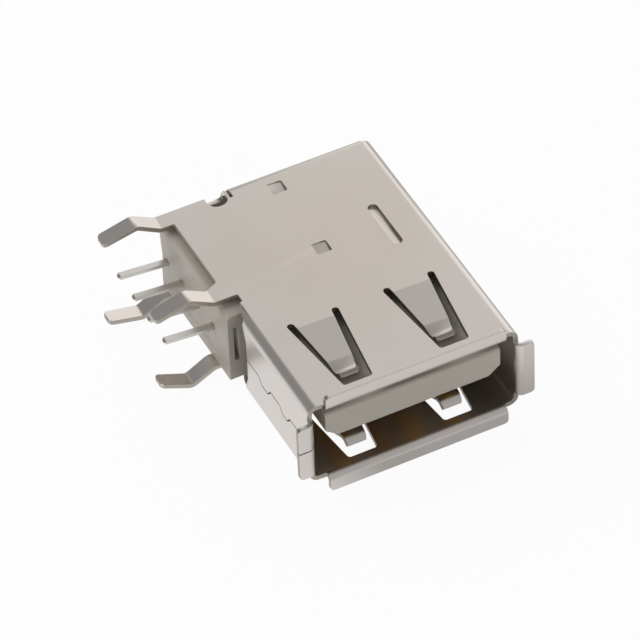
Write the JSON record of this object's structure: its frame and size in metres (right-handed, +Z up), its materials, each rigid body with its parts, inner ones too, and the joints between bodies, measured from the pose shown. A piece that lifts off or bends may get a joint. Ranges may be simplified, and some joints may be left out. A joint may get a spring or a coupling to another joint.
{
  "type": "usb-a socket",
  "caption": "Through-hole USB-A socket for a circuit board: folded metal shell with flared lips, spring fingers and kinked solder legs, moulded tongue and bent contacts.",
  "frame": {"origin": "centre of the mouth, in the plane of the lips' front faces", "axes": "-Y out of the mouth towards the plug, +Z up through the wall with the pressed dimples, -X towards the board"},
  "size_m": [0.0182, 0.0188, 0.0074],
  "materials": {
    "shell_metal": "matte tin plating on folded sheet",
    "insulator_plastic": "moulded, fine matte",
    "contact_metal": "gold plating on the blades, tin plating on the tails"
  },
  "bodies": {
    "root": {"shell": "shell_metal", "insulator": "insulator_plastic", "contact_1": "contact_metal", "contact_2": "contact_metal", "contact_3": "contact_metal", "contact_4": "contact_metal"}
  },
  "joints": []
}
